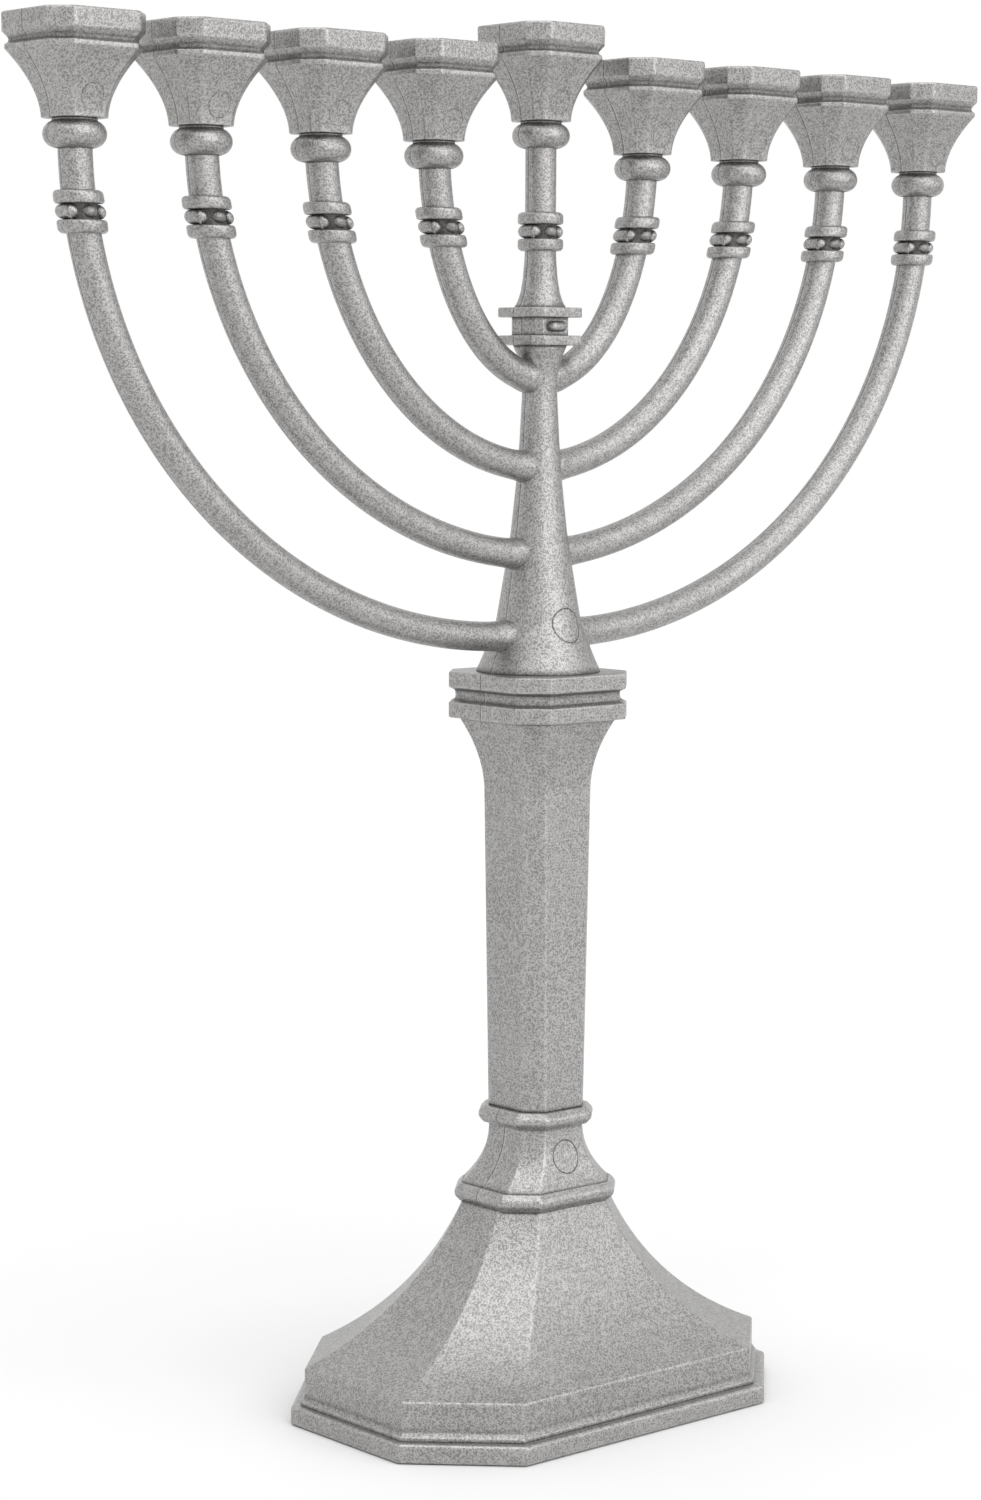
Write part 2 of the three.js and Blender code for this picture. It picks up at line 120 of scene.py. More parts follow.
class Shader:
    """One material's node tree and the calls that add to it."""

    def __init__(self, name: str) -> None:
        """Starts a material that holds only its surface shader.

        Args:
            name: The material's name.
        """
        self.material = bpy.data.materials.new(name)
        self.material.use_nodes = True
        self.tree = self.material.node_tree
        self.surface = next(n for n in self.tree.nodes if n.type == "BSDF_PRINCIPLED")
        self.place = self.node("ShaderNodeTexCoord").outputs["Object"]

    def node(self, kind: str, settings: Optional[dict] = None, inputs: Optional[dict] = None) -> Any:
        """Adds a node.

        Args:
            kind: The node's type name.
            settings: Properties that are set before the sockets.
            inputs: Socket name or index to a value, a socket or a Signal.

        Returns:
            The new node.
        """
        made = self.tree.nodes.new(kind)
        for key, value in (settings or {}).items():
            setattr(made, key, value)
        for key, value in (inputs or {}).items():
            self.feed(made.inputs[key], value)
        return made

    def feed(self, socket: Any, value: Any) -> None:
        """Links or sets one input socket.

        Args:
            socket: The input socket.
            value: A Signal, an output socket or a plain value.
        """
        if isinstance(value, Signal):
            self.tree.links.new(value.socket, socket)
        elif isinstance(value, bpy.types.NodeSocket):
            self.tree.links.new(value, socket)
        else:
            socket.default_value = value

    def math(self, operation: str, first: Value, second: Value = 0.0, clamp: bool = False) -> Signal:
        """Works out one Math node.

        Args:
            operation: The node's operation.
            first: Its first number.
            second: Its second number.
            clamp: Whether the result is held between 0 and 1.

        Returns:
            The result.
        """
        settings = {"operation": operation, "use_clamp": clamp}
        made = self.node("ShaderNodeMath", settings, {0: first, 1: second})
        return Signal(self, made.outputs[0])

    def attribute(self, name: str) -> Signal:
        """A number stored on the piece's own vertices."""
        made = self.node("ShaderNodeAttribute", {"attribute_name": name})
        return Signal(self, made.outputs["Fac"])

    def noise(self, size: float, detail: float = 2.0, roughness: float = 0.5) -> Signal:
        """Cloudy noise on the object's own coordinates.

        Args:
            size: Size of one blotch in millimetres.
            detail: Number of finer layers.
            roughness: Strength of the finer layers.

        Returns:
            Noise between 0 and 1.
        """
        scale = 1.0 / (size * MM)
        inputs = {"Vector": self.place, "Scale": scale, "Detail": detail, "Roughness": roughness}
        return Signal(self, self.node("ShaderNodeTexNoise", None, inputs).outputs[0])

    def blend(self, factor: Value, first: Any, second: Any) -> Any:
        """Mixes two colours.

        Args:
            factor: 0 for the first colour, 1 for the second.
            first: A colour or a colour socket.
            second: A colour or a colour socket.

        Returns:
            The mixed colour's socket.
        """
        made = self.node("ShaderNodeMix", {"data_type": "RGBA"})
        colour_inputs = [s for s in made.inputs if s.type == "RGBA"]
        self.feed(made.inputs[0], factor)
        self.feed(colour_inputs[0], first)
        self.feed(colour_inputs[1], second)
        return next(s for s in made.outputs if s.type == "RGBA")

    def relief(self, height: Signal, depth: float, strength: float = 1.0) -> Any:
        """A bumped normal.

        Args:
            height: Height between 0 and 1.
            depth: Real height of 1, in millimetres.
            strength: How much of it shows.

        Returns:
            The normal's socket.
        """
        inputs = {"Strength": strength, "Distance": depth * MM, "Height": height}
        return self.node("ShaderNodeBump", None, inputs).outputs["Normal"]

    def finish(self, **inputs: Any) -> bpy.types.Material:
        """Feeds the surface shader's sockets, named with underscores for spaces."""
        for key, value in inputs.items():
            self.feed(self.surface.inputs[key.replace("_", " ")], value)
        return self.material


Colour = tuple[float, float, float, float]


def grey(level: float, warmth: float = 0.0) -> Colour:
    """A near-grey colour, slightly warm when warmth is positive."""
    return (level * (1 + warmth), level, level * (1 - warmth), 1.0)


@dataclass(frozen=True)
class CastFinish:
    """Satin blasted casting: fine grain, painted shade in hollows and where parts meet, edges lightened
    for rubbed wear and painted highlight, a parting line with a painted highlight and a painted shadow,
    and pin marks.

    Sizes are millimetres. The grain is a net of thin ridges, which lie where the noise crosses its
    middle value, and the tones say how much each pattern adds to the mix of low and high.
    """

    low: Colour = grey(0.130, 0.045)
    high: Colour = grey(0.470, 0.012)
    # deep is the near-black of the painted shade in hollows and joints, of the painted shadow beside
    # the parting line, and of the pin marks' dark rings.
    deep: Colour = grey(0.020, 0.03)
    # bright lightens the edges, partly as rubbed wear and partly as painted highlight, and is the
    # painted highlight on the parting line.
    bright: Colour = grey(0.62, 0.008)
    metallic: float = 0.85
    roughness: float = 0.37
    grain_size: float = 0.55
    mottle_size: float = 2.0
    cloud_size: float = 14.0
    line_width: float = 0.12
    ridge_sharpness: float = 9.0
    base_tone: float = 0.29
    ridge_tone: float = 0.62
    mottle_tone: float = 0.22
    cloud_tone: float = 0.16
    # How much the edges lighten: partly rubbed wear, partly a painted highlight.
    edge_wear_and_highlight: float = 0.35
    # How far the painted shade in hollows and where parts meet darkens the colour.
    hollow_shade: float = 0.85
    mark_dirt: float = 0.85
    # Strengths of the parting line's painted shadow just beside it and of its painted highlight along
    # it.
    seam_shadow: float = 0.6
    seam_shine: float = 0.4
    relief_depth: float = 0.09
    relief_strength: float = 0.6

    def material(self) -> bpy.types.Material:
        """Builds the material.

        Returns:
            The material, which reads edge, cavity, seam, mark and mark_depth from the piece's vertices.
        """
        shader = Shader("cast_metal")
        grain = shader.noise(self.grain_size, 1.5, 0.5)
        mottle = shader.noise(self.mottle_size, 3.0, 0.6)
        cloud = shader.noise(self.cloud_size, 2.0)
        ridge = (1 - shader.math("ABSOLUTE", grain - 0.5) * self.ridge_sharpness).clipped()
        seam = shader.attribute("seam")
        # The parting line: a ridge in the relief, with a painted highlight along it (seam_line) and a
        # painted shadow just beside it (seam_shade).
        seam_line = seam.bell(self.line_width) * mottle.above(0.32, 0.5)
        seam_shade = (seam - 2.2 * self.line_width).bell(1.3 * self.line_width)
        mark_line = shader.attribute("mark").bell(self.line_width) * shader.attribute("mark_depth")
        # Edges lightened partly as rubbed wear and partly as a painted highlight.
        wear_and_highlight = (shader.attribute("edge") * (0.2 + mottle.above(0.3, 0.7) * 0.5)).clipped()
        # Painted shade in hollows, where parts meet and on the knob seats; on the collars' round beads
        # partly tarnish too.
        hollow_shade_mask = (shader.attribute("cavity") * (0.6 + mottle * 0.6)).clipped()
        patches = (mottle - 0.5) * self.mottle_tone + (cloud - 0.5) * self.cloud_tone
        tone = (ridge * self.ridge_tone + patches + self.base_tone).clipped()
        # Painted shadow beside the parting line, and the pin marks' own dark rings.
        lines = (seam_shade * self.seam_shadow + mark_line * self.mark_dirt).clipped()
        base = shader.blend(tone, self.low, self.high)
        base = shader.blend(wear_and_highlight * self.edge_wear_and_highlight, base, self.bright)
        base = shader.blend(hollow_shade_mask * self.hollow_shade, base, self.deep)
        base = shader.blend(lines, base, self.deep)
        base = shader.blend(seam_line * self.seam_shine, base, self.bright)
        rough = self.roughness + (grain - 0.5) * 0.16 + hollow_shade_mask * 0.2 - wear_and_highlight * 0.10
        height = ridge * 0.35 + mottle * 0.25 + seam_line * 0.8 - mark_line * 0.7
        normal = shader.relief(height, self.relief_depth, self.relief_strength)
        return shader.finish(Base_Color=base, Metallic=self.metallic, Roughness=rough, Normal=normal)


@dataclass(frozen=True)
class SteelFinish:
    """Plain plated steel of the rod, its nut and its washer."""

    body: Colour = grey(0.30)
    pale: Colour = grey(0.46, 0.01)
    roughness: float = 0.34

    def material(self) -> bpy.types.Material:
        """Builds the material."""
        shader = Shader("plated_steel")
        cloud = shader.noise(2.5, 3.0)
        grain = shader.noise(0.2, 2.0)
        base = shader.blend(cloud, self.body, self.pale)
        rough = self.roughness + (grain - 0.5) * 0.2
        normal = shader.relief(grain, 0.02, 0.4)
        return shader.finish(Base_Color=base, Metallic=0.95, Roughness=rough, Normal=normal)


@dataclass(frozen=True)
class FeltFinish:
    """Dark pressed felt of the pads."""

    body: Colour = grey(0.035)
    pale: Colour = grey(0.08)

    def material(self) -> bpy.types.Material:
        """Builds the material."""
        shader = Shader("pad_felt")
        fibre = shader.noise(0.25, 4.0, 0.7)
        base = shader.blend(fibre, self.body, self.pale)
        normal = shader.relief(fibre, 0.15, 0.8)
        return shader.finish(Base_Color=base, Roughness=0.95, Normal=normal)


# Surfaces
@dataclass
class Profile:
    """An outline walked from its first point to its last, with soft corners.

    reach is the distance from the axis (or the half-width), height is along the axis. edge is 1 at an
    outward corner and cavity is 1 at an inward one, and both fade within half a millimetre.
    """

    reach: np.ndarray
    height: np.ndarray
    edge: np.ndarray
    cavity: np.ndarray


def soften(corners: Sequence[tuple[float, float, float]], step: float = 0.6,
           fade: float = 0.45) -> Profile:
    """Rounds an outline's corners and fills it with evenly spaced points.

    Each corner becomes a parabola that leaves and meets its two sides a tangent's length away, the
    radius times the tangent of half the turn. Edge and cavity are sums of bell curves of the
    distance to the corners, weighted by how far the outline turns there.

    Args:
        corners: Points as (reach, height, corner radius).
        step: Longest distance between two points.
        fade: Width of the bell curves.

    Returns:
        The filled outline.
    """
    table = np.array(corners, dtype=float)
    points, radii = table[:, :2], table[1:-1, 2]
    back = points[:-2] - points[1:-1]
    on = points[2:] - points[1:-1]
    back_length = np.linalg.norm(back, axis=1)
    on_length = np.linalg.norm(on, axis=1)
    back_way = back / back_length[:, None]
    on_way = on / on_length[:, None]
    cross = -back_way[:, 0] * on_way[:, 1] + back_way[:, 1] * on_way[:, 0]
    dot = -(back_way * on_way).sum(axis=1)
    turn = np.arctan2(cross, dot)
    tangent = np.minimum(radii * np.tan(np.abs(turn) / 2), 0.45 * np.minimum(back_length, on_length))
    share = np.linspace(0, 1, 6)[None, :, None]
    middle = points[1:-1][:, None, :]
    start = middle + (back_way * tangent[:, None])[:, None, :]
    finish = middle + (on_way * tangent[:, None])[:, None, :]
    curves = (1 - share) ** 2 * start + 2 * share * (1 - share) * middle + share**2 * finish
    line = np.vstack([points[:1], curves.reshape(-1, 2), points[-1:]])
    gaps = np.linalg.norm(np.diff(line, axis=0), axis=1)
    line = line[np.r_[True, gaps > 1e-6]]
    travel = np.r_[0.0, np.cumsum(np.linalg.norm(np.diff(line, axis=0), axis=1))]
    extra = np.arange(0, travel[-1], step)
    nearest = np.abs(extra[:, None] - travel[None, :]).min(axis=1)
    places = np.sort(np.r_[travel, extra[nearest > step * 0.35]])
    reach = np.interp(places, travel, line[:, 0])
    height = np.interp(places, travel, line[:, 1])
    apart = np.hypot(reach[:, None] - points[1:-1, 0], height[:, None] - points[1:-1, 1])
    weight = np.exp(-((apart / fade) ** 2)) * np.minimum(np.abs(turn) / 1.2, 1.0)
    edge = (weight * (turn > 0)).sum(axis=1)
    cavity = (weight * (turn < 0)).sum(axis=1)
    return Profile(reach, height, np.minimum(edge, 1), np.minimum(cavity, 1))


def end_shade(height: np.ndarray, fade: float) -> np.ndarray:
    """Painted shade of 1 at both ends of a piece, where it meets its neighbours, falling off as a bell
    curve of the given width.
    """
    low, high = height[0], height[-1]
    return np.exp(-(((height - low) / fade) ** 2)) + np.exp(-(((high - height) / fade) ** 2))


@dataclass
class Surface:
    """A grid of points, rows along the piece and columns round it, with its edge and cavity values."""

    points: np.ndarray
    edge: np.ndarray
    cavity: np.ndarray

    def leaned(self, lean: float, centre: Sequence[float]) -> "Surface":
        """The surface slid sideways by its height, so that level rings stay level, then carried.

        Args:
            lean: How far X moves for each millimetre of height.
            centre: The place of its origin afterwards.

        Returns:
            The moved surface.
        """
        slide = self.points[..., 2:] * np.array([lean, 0.0, 0.0])
        return Surface(self.points + slide + np.array(centre), self.edge, self.cavity)


def lathe(profile: Profile, columns: int = 48) -> Surface:
    """Turns a profile about Z: each point goes round a circle of its own reach.

    Args:
        profile: The outline.
        columns: Points round the circle.

    Returns:
        The turned surface.
    """
    angle = np.linspace(0, 2 * math.pi, columns, endpoint=False)[None, :]
    reach = profile.reach[:, None]
    x = reach * np.cos(angle)
    y = reach * np.sin(angle)
    z = np.broadcast_to(profile.height[:, None], x.shape)
    edge = np.broadcast_to(profile.edge[:, None], x.shape)
    cavity = np.broadcast_to(profile.cavity[:, None], x.shape)
    return Surface(np.stack([x, y, z], axis=-1), edge, cavity)


@dataclass(frozen=True)
class Octagon:
    """A rectangle of half-width a and half-depth b whose corners are cut back by cx and cy."""

    a: float
    b: float
    cx: float
    cy: float

    def grown(self, reach: np.ndarray) -> np.ndarray:
        """Octagons whose half-width is each reach, grown evenly from this one.

        Args:
            reach: Half-widths.

        Returns:
            An array of (a, b, cx, cy) rows.
        """
        b = self.b + reach - self.a
        scale = reach / self.a
        return np.stack([reach, b, self.cx * scale, self.cy * scale], axis=1)

    def towards(self, other: "Octagon", reach: np.ndarray) -> np.ndarray:
        """Octagons between this one and another, told apart by their half-width.

        Args:
            other: The octagon at the far end.
            reach: Half-widths.

        Returns:
            An array of (a, b, cx, cy) rows.
        """
        share = ((reach - self.a) / (other.a - self.a))[:, None]
        first = np.array([self.a, self.b, self.cx, self.cy])[None, :]
        last = np.array([other.a, other.b, other.cx, other.cy])[None, :]
        return first + share * (last - first)


def faceted(sizes: np.ndarray, profile: Profile, corner: float = 0.5, across: int = 5,
            roundness: Optional[np.ndarray] = None) -> Surface:
    """Stacks octagons into a surface with softened upright edges.

    Every corner is a parabola between two points a tangent's length away on its two sides. Each side
    also has points a quarter and one millimetre past its corners, and evenly spaced ones between.

    Args:
        sizes: One (a, b, cx, cy) row for each point of the profile.
        profile: The outline, whose heights, edges and cavities are used.
        corner: Radius of the upright edges.
        across: Evenly spaced points on each side.
        roundness: 0 to 1 for each row, where 1 turns the octagon into a circle of radius a.

    Returns:
        The surface.
    """
    a, b, cx, cy = sizes.T
    x = np.stack([a, a, a - cx, cx - a, -a, -a, cx - a, a - cx], axis=1)
    y = np.stack([cy - b, b - cy, b, b, b - cy, cy - b, -b, -b], axis=1)
    here = np.stack([x, y], axis=-1)
    ahead = np.roll(here, -1, axis=1) - here
    length = np.linalg.norm(ahead, axis=-1, keepdims=True)
    way = ahead / np.maximum(length, 1e-9)
    way_back = -np.roll(way, 1, axis=1)
    length_back = np.roll(length, 1, axis=1)
    tangent = np.minimum(corner * math.tan(math.pi / 8), 0.3 * np.minimum(length, length_back))
    share = np.linspace(0, 1, 5)[None, None, :, None]
    base = here[:, :, None, :]
    start = base + (way_back * tangent)[:, :, None, :]
    finish = base + (way * tangent)[:, :, None, :]
    bend = (1 - share) ** 2 * start + 2 * share * (1 - share) * base + share**2 * finish
    near = np.minimum(tangent + 0.25, 0.4 * length)
    far = np.minimum(tangent + 1.0, 0.45 * length)
    inner = np.linspace(0, 1, across + 2)[None, None, 1:-1, None]
    spans = far[:, :, None, :] + inner * (length - 2 * far)[:, :, None, :]
    along = np.concatenate([near[:, :, None, :], far[:, :, None, :], spans,
                            (length - far)[:, :, None, :], (length - near)[:, :, None, :]], axis=2)
    flats = base + way[:, :, None, :] * along
    ring = np.concatenate([bend, flats], axis=2)
    side_edge = np.r_[np.full(5, 0.5), 0.15, 0.0, np.zeros(across), 0.0, 0.15]
    plan = ring.reshape(len(sizes), -1, 2)
    if roundness is not None:
        direction = np.arctan2(plan[..., 1], plan[..., 0])
        circle = np.stack([np.cos(direction), np.sin(direction)], axis=-1) * a[:, None, None]
        plan = plan + roundness[:, None, None] * (circle - plan)
    height = np.broadcast_to(profile.height[:, None, None], plan.shape[:2] + (1,))
    upright = np.tile(side_edge, 8)[None, :] * np.ones((len(sizes), 1))
    if roundness is not None:
        upright = upright * (1 - roundness[:, None])
    edge = np.maximum(upright, profile.edge[:, None])
    cavity = np.broadcast_to(profile.cavity[:, None], edge.shape)
    return Surface(np.concatenate([plan, height], axis=-1), edge * (1 - cavity), cavity)


def swept(path: np.ndarray, radius: np.ndarray, columns: int = 28) -> Surface:
    """Carries a circle along a path in the XZ plane.

    The circle's two axes are the path's normal, its tangent turned a quarter turn, and Y.

    Args:
        path: Points as (x, z) rows.
        radius: The circle's radius at each point.
        columns: Points round the circle.

    Returns:
        The bar's surface.
    """
    tangent = np.gradient(path, axis=0)
    tangent /= np.linalg.norm(tangent, axis=1, keepdims=True)
    angle = np.linspace(0, 2 * math.pi, columns, endpoint=False)[None, :]
    out = radius[:, None] * np.cos(angle)
    x = path[:, :1] + out * tangent[:, 1:]
    z = path[:, 1:] - out * tangent[:, :1]
    y = radius[:, None] * np.sin(angle)
    blank = np.zeros_like(x)
    return Surface(np.stack([x, y, z], axis=-1), blank, blank)


def pole_angles(rows: int) -> np.ndarray:
    """Even angles from one pole of a ball to the other, short of the poles, where fans close it."""
    return np.linspace(-math.pi / 2 + POLE, math.pi / 2 - POLE, rows)


def long_bead(ring: float, radius: float, half_angle: float, side: int) -> Surface:
    """A pill bent round Z: a sphere drawn out along an arc of the ring's radius.

    Down its length it follows the arc, and past the arc's ends its section shrinks as a circle does.

    Args:
        ring: Radius of the arc.
        radius: Radius of the pill.
        half_angle: Half the arc's angle, without the round ends.
        side: -1 or 1 for the side of X that it lies on.

    Returns:
        The pill's surface.
    """
    cap = np.linspace(-math.pi / 2 + POLE, 0, 7)
    ends = np.r_[cap, np.zeros(9), -cap[::-1]]
    middle = np.linspace(-half_angle, half_angle, 9)
    arc = np.r_[np.full(7, -half_angle), middle, np.full(7, half_angle)]
    turn = arc + np.sin(ends) * radius / ring
    size = radius * np.cos(ends)
    angle = np.linspace(0, 2 * math.pi, 18, endpoint=False)[None, :]
    out = ring + size[:, None] * np.cos(angle)
    x = side * out * np.cos(turn)[:, None]
    y = out * np.sin(turn)[:, None]
    z = size[:, None] * np.sin(angle)
    blank = np.zeros_like(x)
    return Surface(np.stack([x, y, z], axis=-1), blank, blank)


def ball(centre: Sequence[float], size: Sequence[float], tarnish_and_shade: float = 0.0) -> Surface:
    """An egg of three half-sizes: rows of latitude from pole to pole.

    Args:
        centre: Its middle.
        size: Its half-sizes along X, Y and Z.
        tarnish_and_shade: How dark it is, 0 to 1: partly tarnish, partly painted shade as in a hollow.

    Returns:
        The ball's surface.
    """
    latitude = pole_angles(14)[:, None]
    angle = np.linspace(0, 2 * math.pi, 24, endpoint=False)[None, :]
    x = centre[0] + size[0] * np.cos(latitude) * np.cos(angle)
    y = centre[1] + size[1] * np.cos(latitude) * np.sin(angle)
    z = centre[2] + size[2] * np.sin(latitude) * np.ones_like(angle)
    # The whole ball is darkened: partly tarnish, partly painted shade as in a hollow.
    return Surface(np.stack([x, y, z], axis=-1), np.zeros_like(x), np.full_like(x, tarnish_and_shade))


# Pieces
@dataclass(frozen=True)
class PinMark:
    """A faint round outline left on the front of a casting, where a pin pushed it from its mould."""

    x: float
    z: float
    radius: float
    depth: float = 1.0

    def distance(self, cloud: np.ndarray) -> np.ndarray:
        """Distance of points from the ring, outwards positive, and FAR on the rear half.

        Args:
            cloud: Points as (x, y, z) rows.

        Returns:
            One distance for each point.
        """
        ring = np.hypot(cloud[:, 0] - self.x, cloud[:, 2] - self.z) - self.radius
        return np.where(cloud[:, 1] < 0, ring, FAR)


@dataclass
class Workshop:
    """Makes meshes from surfaces and dresses them in the finish of their slot."""

    finishes: dict[Slot, bpy.types.Material] = field(default_factory=lambda: {
        Slot.METAL: CastFinish().material(),
        Slot.PAD: FeltFinish().material(),
        Slot.STEEL: SteelFinish().material(),
    })

    def piece(self, name: str, surfaces: Sequence[Surface], node: str, slot: Slot = Slot.METAL,
              seam: bool = False, mark: Optional[PinMark] = None) -> None:
        """Builds one closed piece that stands for a node.

        Its vertices carry edge, cavity, seam (distance from the plane between front and rear), mark
        (distance from the mark's ring) and mark_depth. A distance is FAR where there is no such line.

        Args:
            name: The piece's name.
            surfaces: The grids it is made of, in millimetres.
            node: The node it stands for.
            slot: Its material slot.
            seam: Whether the parting line shows on it.
            mark: A pin mark on its front.
        """
        points, faces, edges, cavities = [], [], [], []
        offset = 0
        for surface in surfaces:
            cloud, quads, caps = self.closed(surface)
            faces += (quads + offset).tolist() + (caps + offset).tolist()
            points.append(cloud)
            edges.append(np.r_[surface.edge.ravel(), 0, 0])
            cavities.append(np.r_[surface.cavity.ravel(), 0, 0])
            offset += len(cloud)
        cloud = np.vstack(points)
        mesh = bpy.data.meshes.new(name)
        mesh.from_pydata((cloud * MM).tolist(), [], faces)
        mesh.shade_smooth()
        nowhere = np.full(len(cloud), FAR)
        values = {"edge": np.concatenate(edges), "cavity": np.concatenate(cavities)}
        values["seam"] = cloud[:, 1] if seam else nowhere
        values["mark"] = nowhere if mark is None else mark.distance(cloud)
        values["mark_depth"] = np.full(len(cloud), 0.0 if mark is None else mark.depth)
        for key, data in values.items():
            layer = mesh.attributes.new(key, "FLOAT", "POINT")
            layer.data.foreach_set("value", data.astype(np.float32))
        mesh.update()
        made = bpy.data.objects.new(name, mesh)
        bpy.context.scene.collection.objects.link(made)
        mesh.materials.append(self.finishes[slot])
        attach(made, "root")
        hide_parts(node)
        LOG.info("%s: %d faces", name, len(faces))

    @staticmethod
    def closed(surface: Surface) -> tuple[np.ndarray, np.ndarray, np.ndarray]:
        """Faces of one grid, closed round its columns and by a fan over each end.

        A grid whose signed volume is negative has its faces turned over.

        Args:
            surface: The grid.

        Returns:
            Its points with the two end centres, its four-sided faces, and its end triangles.
        """
        rows, columns = surface.points.shape[:2]
        grid = surface.points.reshape(-1, 3)
        centres = np.stack([surface.points[0].mean(axis=0), surface.points[-1].mean(axis=0)])
        cloud = np.vstack([grid, centres])
        index = np.arange(rows * columns).reshape(rows, columns)
        beside = np.roll(index, -1, axis=1)
        quads = np.stack([index[:-1], beside[:-1], beside[1:], index[1:]], axis=-1).reshape(-1, 4)
        low = np.full(columns, rows * columns)
        lower = np.stack([low, beside[0], index[0]], axis=-1)
        upper = np.stack([low + 1, index[-1], beside[-1]], axis=-1)
        caps = np.vstack([lower, upper])
        triangles = np.vstack([quads[:, :3], quads[:, [0, 2, 3]], caps])
        first, second, third = (cloud[triangles[:, i]] for i in range(3))
        volume = (first * np.cross(second, third)).sum()
        if volume < 0:
            quads, caps = quads[:, ::-1], caps[:, ::-1]
        return cloud, quads, caps

    def carry(self, node: str) -> None:
        """Gives a node that stays as it is the steel finish."""
        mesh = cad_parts[node].data
        mesh.materials.clear()
        mesh.materials.append(self.finishes[Slot.STEEL])
        LOG.info("%s: kept, steel", node)


